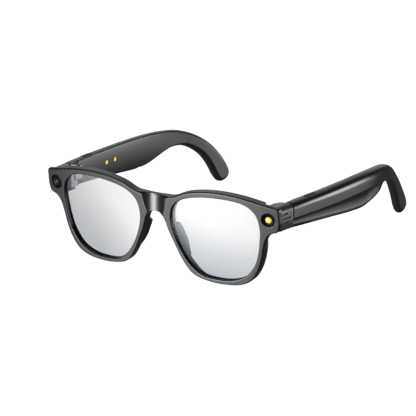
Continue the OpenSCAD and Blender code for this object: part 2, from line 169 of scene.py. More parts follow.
def thickness(y):
    """Thickness of a temple."""
    return np.interp(y, *np.array(TEMPLE_THICKNESS).T)


def ease(x):
    """0 below 0, 1 above 1, with a smooth step between."""
    x = np.clip(x, 0, 1)
    return x * x * (3 - 2 * x)


def ramp(x, start, run):
    """0 before the start and 1 a run after it, with a smooth step between."""
    return ease((x - start) / run)


# ---- Solids as distance functions ----

BEVEL_SOFTNESS = 0.12
# Contouring: steps towards each crossing, reach of a slope, pull to the middle, room in a cell
ROOT_STEPS = 3
SLOPE_REACH = 0.02
MIDDLE_PULL = 0.03
CELL_ROOM = 0.6


class Outline:
    """Signed distance to a closed outline, negative inside, read off a fine grid by cubics."""

    def __init__(self, points, step=0.25, margin=6.0):
        self.low = points.min(0) - margin
        self.step = step
        size = np.ceil((points.max(0) + margin - self.low) / step).astype(int) + 1
        x = self.low[0] + step * np.arange(size[0])[:, None]
        y = self.low[1] + step * np.arange(size[1])[None, :]
        near = np.full(size, 1e9)
        inside = np.zeros(size, bool)
        for (x0, y0), (x1, y1) in zip(points, np.roll(points, -1, 0)):
            dx, dy = x1 - x0, y1 - y0
            t = np.clip(((x - x0) * dx + (y - y0) * dy) / (dx * dx + dy * dy), 0, 1)
            near = np.minimum(near, (x - x0 - t * dx) ** 2 + (y - y0 - t * dy) ** 2)
            if y0 != y1:
                rows = (y > min(y0, y1)) & (y <= max(y0, y1))
                inside ^= rows & (x < x0 + (y - y0) * dx / dy)
        self.value = np.sqrt(near) * np.where(inside, -1, 1)

    def __call__(self, x, y):
        cells = []
        for k, q in enumerate(np.broadcast_arrays(x, y)):
            f = (q - self.low[k]) / self.step
            i = np.clip(np.floor(f).astype(int), 1, self.value.shape[k] - 3)
            t = np.clip(f - i, 0, 1)
            w = ((-t + 2 * t * t - t ** 3) / 2, (2 - 5 * t * t + 3 * t ** 3) / 2,
                 (t + 4 * t * t - 3 * t ** 3) / 2, (-t * t + t ** 3) / 2)
            cells.append((i, w))
        (i, wi), (j, wj) = cells
        total = 0
        for a in range(4):
            row = sum(wj[b] * self.value[i + a - 1, j + b - 1] for b in range(4))
            total = total + wi[a] * row
        return total


def both(a, b, radius=0.0):
    """Intersection of two solids, their common edge rounded to the radius."""
    if np.ndim(radius) == 0 and radius == 0:
        return np.maximum(a, b)
    u, v = a + radius, b + radius
    return (np.minimum(np.maximum(u, v), 0)
            + np.sqrt(np.maximum(u, 0) ** 2 + np.maximum(v, 0) ** 2) - radius)


def elliptic(a, b, reach_a, reach_b):
    """Intersection whose edge is a quarter ellipse, reach_a deep under a and reach_b under b."""
    p, q = np.maximum(a / reach_a + 1, 0), np.maximum(b / reach_b + 1, 0)
    corner = (np.hypot(p, q) - 1) * (p * reach_a + q * reach_b) / (p + q + 1e-9)
    return np.where(p + q > 0, corner, np.maximum(a, b))


def less(a, b, radius=0.0):
    """Solid a with solid b taken out of it."""
    return both(a, -b, radius)


def bevelled(a, b, cut):
    """Intersection with a flat bevel of the given width on the common edge."""
    return both(both(a, b), (a + b + cut) * math.sqrt(0.5), BEVEL_SOFTNESS)


def box(point, low, high):
    """Distance to a box."""
    gaps = [np.maximum(lo - q, q - hi) for q, lo, hi in zip(point, low, high)]
    outside = sum(np.maximum(g, 0) ** 2 for g in gaps)
    return np.sqrt(outside) + np.minimum(np.maximum.reduce(np.broadcast_arrays(*gaps)), 0)


def contour(solid, low, high, step):
    """Dual contouring: a quad mesh of the solid's surface that keeps its sharp edges."""
    axes = [np.arange(lo - 1.5 * step, hi + 2.5 * step, step) for lo, hi in zip(low, high)]
    shape = tuple(len(a) for a in axes)
    value = np.broadcast_to(solid(*np.ix_(*axes)), shape)
    inside = value < 0
    cells = np.array(shape) - 1
    origin = np.array([a[0] for a in axes])
    hits, normals, owners, quads = [], [], [], []
    for k in range(3):
        here = [slice(None)] * 3
        there = [slice(None)] * 3
        here[k], there[k] = slice(0, -1), slice(1, None)
        crossing = np.argwhere(inside[tuple(here)] != inside[tuple(there)])
        others = [m for m in range(3) if m != k]
        within = [(crossing[:, m] > 0) & (crossing[:, m] < cells[m]) for m in others]
        crossing = crossing[np.all(within, 0)]
        ahead = crossing.copy()
        ahead[:, k] += 1
        start = origin + step * crossing
        v0, v1 = value[tuple(crossing.T)], value[tuple(ahead.T)]
        first = v0.copy()
        t0, t1 = np.zeros(len(v0)), np.ones(len(v0))
        for _ in range(ROOT_STEPS):
            t = t0 + (t1 - t0) * v0 / (v0 - v1)
            point = start.copy()
            point[:, k] += step * t
            v = solid(*point.T)
            same = (v < 0) == (first < 0)
            t0, v0 = np.where(same, t, t0), np.where(same, v, v0)
            t1, v1 = np.where(same, t1, t), np.where(same, v1, v)
        slope = []
        for m in range(3):
            plus, minus = point.copy(), point.copy()
            plus[:, m] += SLOPE_REACH
            minus[:, m] -= SLOPE_REACH
            slope.append(solid(*plus.T) - solid(*minus.T))
        slope = np.stack(slope, 1)
        slope /= np.maximum(np.linalg.norm(slope, axis=1, keepdims=True), 1e-9)
        ring = []
        for da, db in ((0, 0), (1, 0), (1, 1), (0, 1)):
            cell = crossing.copy()
            cell[:, others[0]] -= da
            cell[:, others[1]] -= db
            ring.append(np.ravel_multi_index(tuple(cell.T), tuple(cells)))
        ring = np.stack(ring, 1)
        turn = (first < 0) == (k != 1)
        quads.append(np.where(turn[:, None], ring[:, ::-1], ring))
        for m in range(4):
            owners.append(ring[:, m])
            hits.append(point)
            normals.append(slope)
    owners, hits, normals = map(np.concatenate, (owners, hits, normals))
    used, index = np.unique(owners, return_inverse=True)
    count = len(used)
    centre = origin + step * (np.stack(np.unravel_index(used, tuple(cells)), 1) + 0.5)
    local = hits - centre[index]
    tally = np.bincount(index, minlength=count)

    def gather(x):
        return np.bincount(index, weights=x, minlength=count)

    mean = np.stack([gather(local[:, m]) for m in range(3)], 1) / tally[:, None]
    plane = np.sum(normals * local, 1)
    matrix = np.empty((count, 3, 3))
    right = np.empty((count, 3))
    for m in range(3):
        right[:, m] = gather(normals[:, m] * plane)
        for n in range(m, 3):
            matrix[:, m, n] = matrix[:, n, m] = gather(normals[:, m] * normals[:, n])
    right -= np.einsum("imn,in->im", matrix, mean)
    matrix += MIDDLE_PULL * tally[:, None, None] * np.eye(3)
    shift = np.linalg.solve(matrix, right[..., None])[..., 0]
    points = centre + np.clip(mean + shift, -CELL_ROOM * step, CELL_ROOM * step)
    faces = np.searchsorted(used, np.concatenate(quads))
    return points, faces


# ---- From local coordinates to pieces ----

def wrap_front(points):
    """(x, depth behind the curved front, z in the front's lean) to the open temples' frame."""
    x, d, z = points.T
    y = WRAP_R - np.sqrt((WRAP_R - d) ** 2 - x * x)
    c, s = math.cos(LEAN), math.sin(LEAN)
    return np.stack([x, y * c - z * s, y * s + z * c], 1)


def wrap_temple(points):
    """(depth below the outer face, y, z) to the open temples' frame, on the left."""
    u, y, z = points.T
    return np.stack([face_x(y) - u, y, z], 1)


def keep(points):
    """Points that are in the open temples' frame already."""
    return points


def volume(points, faces):
    """Six times the volume inside faces of four corners, negative if they face inwards."""
    total = 0
    for a, b, c in ((0, 1, 2), (0, 2, 3)):
        p, q, r = points[faces[:, a]], points[faces[:, b]], points[faces[:, c]]
        total += np.sum(np.cross(p, q) * r)
    return total


def piece(name, points, faces, body, material, sharp=35, side=1):
    """A mesh object from millimetres, closed and facing outwards, riding on a body."""
    if side < 0:
        points = points * (-1, 1, 1)
    if volume(points - points.mean(0), faces) < 0:
        faces = faces[:, ::-1]
    mesh = bpy.data.meshes.new(name)
    mesh.from_pydata(place(points), [], faces.tolist())
    mesh.update()
    mesh.shade_smooth()
    mesh.set_sharp_from_angle(angle=math.radians(sharp))
    obj = bpy.data.objects.new(name, mesh)
    bpy.context.scene.collection.objects.link(obj)
    mesh.materials.append(material)
    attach(obj, body)
    return obj


# Coarser meshes while trying things
COARSE = 1.0


# ---- Front ----

RIM_BEVEL = 0.45
BROW_BEVEL_MORE = 1.1
OPENING_BEVEL = 0.3
BRIDGE_WALL_R = 0.4
BRIDGE_EDGE_R = 0.2
PORT_EDGE_R = 0.1
REAR_R = 0.6
REAR_TOP_MORE = 0.5
REAR_OPENING_R = 0.8
REAR_END_R = 0.2
REAR_END_GAP = 0.1
FLARE = 0.75
# Where each change starts, and the length that it takes
BROW_X = (6, 4)
BROW_Z = (12, 3)
FLARE_X = (18, 10)
REAR_TOP_Z = (12, 6)

front_outline = Outline(smooth_curve(full_front(), 8))
opening = Outline(smooth_curve(LENS_OPENING, 10))


def groove(x, d, z):
    """The groove that holds a lens."""
    flat = opening(np.abs(x), z) - LENS_LIP - GAP
    return both(flat, np.abs(d - LENS_SET - LENS_T / 2) - LENS_T / 2 - GAP)


def bridge_cut(x, d, z):
    """The hollow in the front of the bridge, narrower at the bottom."""
    rise = np.clip((z - BRIDGE_NARROW_Z) / (BRIDGE_WIDE_Z - BRIDGE_NARROW_Z), 0, 1)
    half = BRIDGE_LOW_HALF_W + (BRIDGE_HALF_W - BRIDGE_LOW_HALF_W) * rise
    hollow = BRIDGE_RECESS - x * x / (2 * BRIDGE_FLOOR_R)
    depth = hollow + (z - BRIDGE_Z) * math.tan(BRIDGE_SLOPE)
    return both(np.abs(x) - half, d - depth, BRIDGE_WALL_R)


def front_shell(x, d, z):
    """The front layer of the rims, with a wider bevel over the bridge."""
    outer = front_outline(x, z)
    inner = -opening(np.abs(x), z)
    brow = (1 - ramp(np.abs(x), *BROW_X)) * ramp(z, *BROW_Z)
    solid = bevelled(outer, -d, RIM_BEVEL + BROW_BEVEL_MORE * brow)
    solid = both(solid, bevelled(inner, -d, OPENING_BEVEL))
    solid = both(solid, d - FRONT_T, SHARP_EDGE)
    solid = less(solid, bridge_cut(x, d, z), BRIDGE_EDGE_R)
    port = np.hypot(np.abs(x) - PORT[0], z - PORT[1]) - BEZEL_R - GAP
    return less(less(solid, port, PORT_EDGE_R), groove(x, d, z))


def rear_shell(x, d, z):
    """The rear layer of the rims, which ends at the hinge blocks."""
    outer = front_outline(x, z)
    # Behind the lens the opening flares, except beside the nose pads
    flare = FLARE * np.maximum(d - LENS_SET - LENS_T, 0) * ramp(np.abs(x), *FLARE_X)
    inner = flare - opening(np.abs(x), z)
    rear_r = REAR_R + REAR_TOP_MORE * ramp(z, *REAR_TOP_Z)
    solid = both(both(outer, d - RIM_T, rear_r), both(inner, d - RIM_T, REAR_OPENING_R))
    solid = both(solid, FRONT_T - d, SHARP_EDGE)
    solid = both(solid, np.abs(x) - BLOCK_X + REAR_END_GAP, REAR_END_R)
    return less(solid, groove(x, d, z))


PAD_AT = (11.2, -6.6)
PAD_TURN = math.radians(-24)
PAD_SECTION = [(0.3, 4.4), (-0.7, 6.4), (-0.8, 8), (-0.3, 9.4), (0.7, 10), (1.6, 9.4),
               (2.4, 7.8), (2.8, 5.8), (2.9, 4.4)]
PAD_PROFILE = [(-11, 4.4), (-9.5, 5.4), (-6.5, 6.6), (-3, 8.4), (1, 9.8), (5, 9.7), (8, 8.2),
               (9.7, 4.4)]
PAD_R = 0.7
pad_section = Outline(smooth_curve(PAD_SECTION, 6, closed=False), step=0.1, margin=4)
pad_profile = Outline(smooth_curve(PAD_PROFILE, 6, closed=False), step=0.1, margin=4)


def nose_pad(x, d, z):
    """The left nose pad: its section and its profile from the side, crossed."""
    c, s = math.cos(PAD_TURN), math.sin(PAD_TURN)
    across = (x - PAD_AT[0]) * c - (z - PAD_AT[1]) * s
    along = (x - PAD_AT[0]) * s + (z - PAD_AT[1]) * c
    return both(both(pad_section(across, d), pad_profile(along, d), PAD_R), RIM_T - d)


# ---- Hinge blocks ----

TOP_REACH = 3.0
TOP_TILT = 0.12
TOP_MIDDLE = 3.1
BULGE = 170
BLOCK_CREASE = 11.7
BLOCK_SWELL = (13, 45)
BLOCK_TOP_DROP = 3.9
BLOCK_BOTTOM = (0.7, 0.8)
BLOCK_INNER_R = 0.5
BLOCK_END_R = 0.3
GROOVE_R = 0.42
GROOVE_DEPTH = 0.25
GROOVE_END = 0.4
GROOVE_EDGE_R = 0.05
ROOM_EDGE_R = 0.2
CAVITY = ((63.7, 0, 9), (70.6, 11.5, 17.6))
LEAF_SLOT = ((61.9, 11.8, 8.7), (64.15, 15.8, 19.1))


def outer_bulge(z, crease):
    """How far the outer face falls back above the crease, where it is slightly rounded."""
    return np.maximum(z - crease, 0) ** 2 / BULGE


def lean_of_top(u):
    """Rise of the top over its outline: it leans inwards, so the outer edge is the highest."""
    return TOP_TILT * (TOP_MIDDLE - u)


def hinge_block(x, y, z):
    """The left housing behind an end piece, up against the curved front shell."""
    u = face_x(y) - x
    c, s = math.cos(LEAN), math.sin(LEAN)
    fy = y * c + z * s
    behind = FRONT_T - (WRAP_R - np.hypot(WRAP_R - fy, x))
    swell = np.maximum(BLOCK_SWELL[0] - z, 0) ** 2 / BLOCK_SWELL[1]
    surface = outer_bulge(z, BLOCK_CREASE) + swell
    face = surface - u
    top, bottom = z - BLOCK_Z[1] - lean_of_top(u), BLOCK_Z[0] - z
    solid = elliptic(elliptic(face, top, TOP_REACH, BLOCK_TOP_DROP), bottom, *BLOCK_BOTTOM)
    solid = both(solid, both(BLOCK_X - x, top, BLOCK_INNER_R))
    solid = both(both(solid, y - BLOCK_END_Y, BLOCK_END_R), behind, BLOCK_END_R)
    deep = np.maximum(np.abs(face) - GROOVE_DEPTH, 0)
    for height, end in GROOVES:
        past = np.maximum(y - end + GROOVE_END, 0)
        cut = np.sqrt(past ** 2 + (z - height) ** 2 + deep ** 2) - GROOVE_R
        solid = less(solid, cut, GROOVE_EDGE_R)
    point = (x, y, z)
    solid = less(solid, box(point, *CAVITY))
    solid = less(solid, np.hypot(x - HINGE[0], y - HINGE[1]) - HINGE_ROOM_R, ROOM_EDGE_R)
    return less(solid, box(point, *LEAF_SLOT))


# ---- Temples ----

side_outline = Outline(smooth_curve(TEMPLE_SIDE, 8))
hollow_outline = Outline(smooth_curve(TEMPLE_HOLLOW, 6))

# The step under the crease, the width of the lip at the edge, and the fall and rise between them
CREASE_STEP = 0.85
CREASE_RUN = 1.1
LIP_W = 1.9
HOLLOW_FALL = 0.28
HOLLOW_RISE = 0.78
# Roundings of the upper outer edge, in front and further back, and of the others
TOP_DROP = 4.4
TOP_DROP_MORE = 1.0
LOW_REACH = 0.9
LOW_DROP = 1.0
INNER_TOP_R = 0.8
INNER_LOW_MORE = 0.8
HOOK_R = 2.4
INNER_BULGE = 110
MIDDLE_Z = 13
# Where each change starts, and the length that it takes
HOOK_Y = (106, 26)
LOW_Z = (12, -6)
HOLLOW_END_Y = (92, 14)
DROP_Y = (25, 50)


def temple_body(u, y, z):
    """The whole temple: body, hook and all, without its seams and holes."""
    hook = ramp(y, *HOOK_Y)
    low = ramp(z, *LOW_Z)
    side = side_outline(y, z - lean_of_top(u) * (1 - low) * (1 - hook))
    crease = np.interp(y, *np.array(CREASE).T)
    # Below the crease the face steps in, and from there it is slightly hollow down to the edge
    under = np.maximum(crease - z, 0)
    way = under / (under + np.maximum(-side - LIP_W, 0) + 1e-6)
    hollow = CREASE_STEP * ease(under / CREASE_RUN) + HOLLOW_FALL * under * (1 - HOLLOW_RISE * way)
    surface = outer_bulge(z, crease) * (1 - hook) + hollow * (1 - ramp(y, *HOLLOW_END_Y))
    outer = surface - u
    flat = 1 - hook
    inner = u - thickness(y) + (z - MIDDLE_Z) ** 2 / INNER_BULGE * flat
    drop = TOP_DROP + TOP_DROP_MORE * ramp(y, *DROP_Y)
    outer_x = (TOP_REACH * (1 - low) + LOW_REACH * low) * flat + HOOK_R * hook
    outer_z = (drop * (1 - low) + LOW_DROP * low) * flat + HOOK_R * hook
    inner_r = (INNER_TOP_R + INNER_LOW_MORE * low) * flat + HOOK_R * hook
    return np.maximum(elliptic(outer, side, outer_x, outer_z),
                      elliptic(inner, side, inner_r, inner_r))


def seam(y, z):
    """Distance in front of the seam between body and tip, seen from the side."""
    disc = np.hypot(y - SEAM[0], z - SEAM[1]) - SEAM[2]
    return np.minimum(y - SEAM[0], disc)


def stadium(x, y, at, length, width, turn=0.0):
    """Distance to a slot with round ends, seen from above."""
    run = (length - width) / 2
    c, s = math.cos(turn), math.sin(turn)
    across = (x - at[0]) * c + (y - at[1]) * s
    along = (y - at[1]) * c - (x - at[0]) * s
    return np.hypot(across, np.maximum(np.abs(along) - run, 0)) - width / 2


BUTTON_PLAY = 0.3
BUTTON_ROOM_Z = 10
HINGE_WAY = ((60, HINGE[1], 12), (68, HINGE[1] + 3.2, 15.6))
NOTCH_R = 0.6
NOTCH_FLOOR_R = 0.3


def button_room(x, y, z):
    """The hole in the top that the button moves in."""
    length, width = BUTTON_L + BUTTON_PLAY, BUTTON_W + BUTTON_PLAY
    return both(stadium(x, y, BUTTON, length, width, BUTTON_TURN), BUTTON_ROOM_Z - z)


def hinge_room(x, y, z):
    """Room for the front's knuckles and the way between them, and the notch over them."""
    knuckle = np.hypot(x - HINGE[0], y - HINGE[1]) - HINGE_ROOM_R
    way = box((x, y, z), *HINGE_WAY)
    notch = both(both(x - NOTCH[0], y - NOTCH[1], NOTCH_R), NOTCH[2] - z, NOTCH_FLOOR_R)
    return np.minimum(np.minimum(knuckle, way), notch)


# Roundings of the temples' edges at seams and holes, their walls, and what is let into them
SHARE_R = 0.1
FRONT_R = 0.25
SEAM_R = 0.12
BUTTON_EDGE_R = 0.15
SLOT_EDGE_R = 0.1
SHELL_WALL = 1.9
COVER_WALL = 1.1
SLOT_TOP = 8
MIC_TOP = 12
MIC_R = 0.4
LEAF_SEAT = ((60, 19.5, 10), (67.95, 27.1, 17.6))
CORE_HALF_W = 1.55
CORE_HALF_T = 0.65
CORE_LINE = [(111, 12.6), (120, 12.2), (130, 9.2), (140, 2.4), (147, -5), (152, -12.5)]


def core_ribbon(half):
    """Outline of the tip's core wire, a strip about its line."""
    line = smooth_curve(CORE_LINE, 6, closed=False)
    run = np.gradient(line, axis=0)
    across = np.stack([-run[:, 1], run[:, 0]], 1) / np.linalg.norm(run, axis=1)[:, None] * half
    return Outline(np.concatenate([line + across, (line - across)[::-1]]), margin=4)


core_outline = core_ribbon(CORE_HALF_W)


def core_room(u, y, z):
    """Room for the core wire, in the middle of the temple's thickness."""
    return both(core_outline(y, z), np.abs(u - thickness(y) / 2) - CORE_HALF_T)


def temple_layer(u, y, z, beyond, wall):
    """The body on one side of its lengthwise seam, hollowed, with the holes both layers share."""
    x = face_x(y) - u
    solid = both(temple_body(u, y, z), beyond, SHARE_R)
    solid = both(both(solid, TEMPLE_Y - y, FRONT_R), seam(y, z), SEAM_R)
    solid = less(solid, both(hollow_outline(y, z), wall))
    solid = less(solid, button_room(x, y, z), BUTTON_EDGE_R)
    slot = stadium(x, y, SPEAKER_SLOT[:2], *SPEAKER_SLOT[2:])
    return x, less(solid, both(slot, z - SLOT_TOP), SLOT_EDGE_R)


def temple_shell(u, y, z):
    """The outer layer of a temple, with the microphone's port."""
    x, solid = temple_layer(u, y, z, u - SHELL_SHARE * thickness(y), SHELL_WALL - u)
    solid = less(solid, both(np.hypot(x - MIC[0], y - MIC[1]) - MIC_R, z - MIC_TOP))
    return less(less(solid, hinge_room(x, y, z), FRONT_R), core_room(u, y, z))


def temple_cover(side):
    """The inner layer of a temple, with the hinge leaf's seat, and the right one's contacts."""
    def solid_of(u, y, z):
        t = thickness(y)
        x, solid = temple_layer(u, y, z, SHELL_SHARE * t - u, u - t + COVER_WALL)
        solid = less(less(solid, hinge_room(x, y, z), FRONT_R), core_room(u, y, z))
        solid = less(solid, box((x, y, z), *LEAF_SEAT))
        if side < 0:
            for at in CONTACT_Y:
                hole = np.hypot(y - at, z - CONTACT_Z) - CONTACT_R - GAP
                solid = less(solid, hole, SHARP_EDGE)
        return solid
    return solid_of


def temple_tip(u, y, z):
    """The sleeve over the end of a temple."""
    solid = both(temple_body(u, y, z), -seam(y, z), SEAM_R)
    return less(solid, core_room(u, y, z))


BUTTON_TOP_X = 71.5
BUTTON_TOP_R = 0.35
FLANGE = (9.8, 3)
FLANGE_HALF_T = 0.3


def button(x, y, z):
    """A button's cap, its top tilted as the temple's, and the flange that holds it in."""
    top = z - BUTTON_Z[1] + TOP_TILT * (BUTTON_TOP_X - x)
    cap = both(stadium(x, y, BUTTON, BUTTON_L, BUTTON_W, BUTTON_TURN), top, BUTTON_TOP_R)
    cap = both(cap, BUTTON_Z[0] - z)
    below = np.abs(z - BUTTON_Z[0] + FLANGE_HALF_T) - FLANGE_HALF_T
    return np.minimum(cap, both(stadium(x, y, BUTTON, *FLANGE, BUTTON_TURN), below))


# ---- Camera and light ----

def lathe(profile, at, turns=72):
    """A closed profile of radius and depth, turned about an axis through the front."""
    profile = np.array(profile, float)
    count = len(profile)
    angle = np.linspace(0, 2 * math.pi, turns, endpoint=False)
    r, d = profile[None, :, 0], profile[None, :, 1]
    x = at[0] + r * np.cos(angle)[:, None]
    z = at[1] + r * np.sin(angle)[:, None]
    points = np.stack([x, np.broadcast_to(d, x.shape), z], 2).reshape(-1, 3)
    return points, ring_faces(turns, count)


def ring_faces(turns, count):
    """Faces between closed profiles of so many points, set round a closed loop."""
    i, j = np.meshgrid(np.arange(turns), np.arange(count), indexing="ij")
    i2, j2 = (i + 1) % turns, (j + 1) % count
    faces = np.stack([i * count + j, i2 * count + j, i2 * count + j2, i * count + j2], 2)
    return faces.reshape(-1, 4)


def lens_blank(rings=16):
    """A lens: rings about its middle, out to an edge that sits in the rim's groove."""
    line = np.array(smooth_curve(LENS_OPENING, 10))
    middle = line.mean(0)
    along = np.roll(line, -1, 0) - np.roll(line, 1, 0)
    outward = np.stack([along[:, 1], -along[:, 0]], 1) / np.hypot(*along.T)[:, None]
    outward *= np.sign(np.sum(outward * (line - middle)))
    edge = line + outward * LENS_LIP - middle
    scale = np.linspace(0.001, 1, rings)
    scale = np.concatenate([scale, scale[::-1]])
    depth = np.repeat([LENS_SET, LENS_SET + LENS_T], rings)
    x = middle[0] + edge[:, :1] * scale
    z = middle[1] + edge[:, 1:] * scale
    points = np.stack([x, np.broadcast_to(depth, x.shape), z], 2).reshape(-1, 3)
    return wrap_front(points), ring_faces(len(line), 2 * rings)


def rounded(profile, radius, steps=4):
    """A closed profile with its corners rounded."""
    p = np.array(profile, float)
    out = []
    for i, corner in enumerate(p):
        before, after = p[i - 1] - corner, p[(i + 1) % len(p)] - corner
        r = min(radius, 0.45 * np.linalg.norm(before), 0.45 * np.linalg.norm(after))
        a = corner + before / np.linalg.norm(before) * r
        b = corner + after / np.linalg.norm(after) * r
        for k in range(steps + 1):
            t = k / steps
            out.append((1 - t) ** 2 * a + 2 * t * (1 - t) * corner + t * t * b)
    return out


# ---- Materials ----

def linear(rgb):
    """An sRGB colour of 0 to 255 as linear RGBA."""
    c = np.array(rgb) / 255
    return tuple(np.where(c < 0.04045, c / 12.92, ((c + 0.055) / 1.055) ** 2.4)) + (1.0,)


def nodes_of(name):
    """A new material, its node tree and its shader."""
    mat = bpy.data.materials.new(name)
    mat.use_nodes = True
    tree = mat.node_tree
    return mat, tree, tree.nodes["Principled BSDF"]


def noise(tree, size_mm, detail=2.0, stretch=(1, 1, 1)):
    """3-D noise in the object's own metres; size_mm is the width of its features."""
    coords = tree.nodes.new("ShaderNodeTexCoord")
    scale = tree.nodes.new("ShaderNodeMapping")
    scale.inputs["Scale"].default_value = stretch
    field = tree.nodes.new("ShaderNodeTexNoise")
    field.inputs["Scale"].default_value = 1 / (size_mm * MM)
    field.inputs["Detail"].default_value = detail
    tree.links.new(coords.outputs["Object"], scale.inputs["Vector"])
    tree.links.new(scale.outputs["Vector"], field.inputs["Vector"])
    return field.outputs["Fac"]


def between(tree, fac, low, high, start=0.3, end=0.7):
    """A value that runs from low to high as fac runs from start to end."""
    span = tree.nodes.new("ShaderNodeMapRange")
    span.inputs["From Min"].default_value = start
    span.inputs["From Max"].default_value = end
    span.inputs["To Min"].default_value = low
    span.inputs["To Max"].default_value = high
    tree.links.new(fac, span.inputs["Value"])
    return span.outputs["Result"]


def blend_colours(tree, fac, one, two):
    """The colour one where fac is 0, and two where it is 1."""
    mix = tree.nodes.new("ShaderNodeMix")
    mix.data_type = "RGBA"
    mix.inputs["A"].default_value = one
    mix.inputs["B"].default_value = two
    tree.links.new(fac, mix.inputs["Factor"])
    return mix.outputs["Result"]


def bump(tree, shader, height, depth_mm):
    """Relief of the given depth from a height of 0 to 1."""
    node = tree.nodes.new("ShaderNodeBump")
    node.inputs["Strength"].default_value = 1.0
    node.inputs["Distance"].default_value = depth_mm * MM
    tree.links.new(height, node.inputs["Height"])
    tree.links.new(node.outputs["Normal"], shader.inputs["Normal"])


def shaded(colour, factor):
    """A linear colour made darker or lighter."""
    return tuple(min(c * factor, 1) for c in colour[:3]) + (1.0,)


# Sizes of the clouds in colour and in gloss, and how far each varies
CLOUD_MM = 5.0
GLOSS_MM = 1.6
VARY = 0.04
GLOSS_VARY = 0.01


def moulded(name, colour, rough, grain=0.16, depth=0.0003, metal=0.0, ior=1.5,
            stretch=(1, 1, 1)):
    """Moulded plastic or worked metal: cloudy colour, uneven gloss and a fine grain."""
    mat, tree, shader = nodes_of(name)
    base = linear(colour)
    cloud = between(tree, noise(tree, CLOUD_MM, 3.0, stretch), 0, 1)
    tone = blend_colours(tree, cloud, shaded(base, 1 - VARY), shaded(base, 1 + VARY))
    tree.links.new(tone, shader.inputs["Base Color"])
    gloss = noise(tree, GLOSS_MM, 3.0, stretch)
    uneven = between(tree, gloss, rough - GLOSS_VARY, rough + GLOSS_VARY)
    tree.links.new(uneven, shader.inputs["Roughness"])
    shader.inputs["Metallic"].default_value = metal
    shader.inputs["IOR"].default_value = ior
    bump(tree, shader, noise(tree, grain, 2.0, stretch), depth)
    return mat


def glass_with_painted_glow(name, colour, strength, rough):
    """A translucent window that glows with painted light in its own colour, a little cloudy."""
    mat, tree, shader = nodes_of(name)
    base = linear(colour)
    cloud = between(tree, noise(tree, 1.4, 3.0), 0, 1, 0.35, 0.65)
    shade = blend_colours(tree, cloud, shaded(base, 0.8), base)
    tree.links.new(shade, shader.inputs["Base Color"])
    # Painted glow: the window gives off its own colour as light
    tree.links.new(shade, shader.inputs["Emission Color"])
    shader.inputs["Emission Strength"].default_value = strength
    shader.inputs["Roughness"].default_value = rough
    bump(tree, shader, noise(tree, 0.3), 0.01)
    return mat


def glass_with_painted_reflection(name, low_reflection, high_reflection, alpha, across, low, high):
    """A lens: a soft mirror whose painted reflection brightens along a direction, and a clear view
    through.
    """
    mat, tree, shader = nodes_of(name)
    coords = tree.nodes.new("ShaderNodeTexCoord")
    along = tree.nodes.new("ShaderNodeVectorMath")
    along.operation = "DOT_PRODUCT"
    along.inputs[1].default_value = across
    tree.links.new(coords.outputs["Object"], along.inputs[0])
    rise = between(tree, along.outputs["Value"], 0, 1, low * MM, high * MM)
    # Painted reflection: the mirror's colour runs from dark to light grey along the direction
    tint = blend_colours(tree, rise, low_reflection, high_reflection)
    tree.links.new(tint, shader.inputs["Base Color"])
    uneven = between(tree, noise(tree, 6.0, 2.0), 0.3, 0.34)
    tree.links.new(uneven, shader.inputs["Roughness"])
    shader.inputs["Alpha"].default_value = alpha
    shader.inputs["Metallic"].default_value = 1.0
    return mat


front_plastic = moulded("front_plastic", (24, 24, 24), 0.24)
rear_plastic = moulded("rear_plastic", (20, 21, 23), 0.27)
block_plastic = moulded("block_plastic", (64, 64, 65), 0.24)
temple_plastic = moulded("temple_plastic", (22, 22, 22), 0.2)
cover_plastic = moulded("cover_plastic", (28, 28, 29), 0.3)
tip_plastic = moulded("tip_plastic", (26, 26, 27), 0.3, grain=0.25)
button_plastic = moulded("button_plastic", (7, 7, 8), 0.42, ior=1.2)
pad_rubber = moulded("pad_rubber", (16, 16, 17), 0.5, grain=0.2, depth=0.003)
bezel_black = moulded("bezel_black", (5, 5, 6), 0.3, depth=0.001, ior=1.13)
hinge_steel = moulded("hinge_steel", (176, 178, 180), 0.28, metal=1.0, stretch=(1, 1, 6))
mesh_steel = moulded("mesh_steel", (88, 90, 92), 0.4, metal=1.0, grain=0.4, depth=0.05)
contact_gold = moulded("contact_gold", (240, 196, 92), 0.22, metal=1.0, depth=0.002)
board_green = moulded("board_green", (24, 84, 52), 0.4, grain=0.5, depth=0.01)
flex_orange = moulded("flex_orange", (176, 106, 40), 0.35, grain=0.4)
module_black = moulded("module_black", (20, 21, 22), 0.35)
switch_metal = moulded("switch_metal", (150, 150, 142), 0.35, metal=1.0)
battery_foil = moulded("battery_foil", (190, 192, 196), 0.3, metal=1.0, grain=0.9, depth=0.02)
speaker_black = moulded("speaker_black", (30, 31, 33), 0.45)
light_glass = glass_with_painted_glow("light_glass", (212, 212, 84), 0.32, 0.35)
LENS_ALPHA = 0.33
# Each lens's painted reflection brightens along its own direction, between two distances in
# millimetres
lens_glass = {
    1: glass_with_painted_reflection("lens_glass_left", (0.004, 0.014, 0.026, 1), (0.25, 0.25, 0.252, 1),
                    LENS_ALPHA, (0.1, 0, 1), 7, 37),
    -1: glass_with_painted_reflection("lens_glass_right", (0.002, 0.01, 0.02, 1), (0.26, 0.26, 0.262, 1),
                     LENS_ALPHA, (0.9, 0, 1), -30, 10),
}


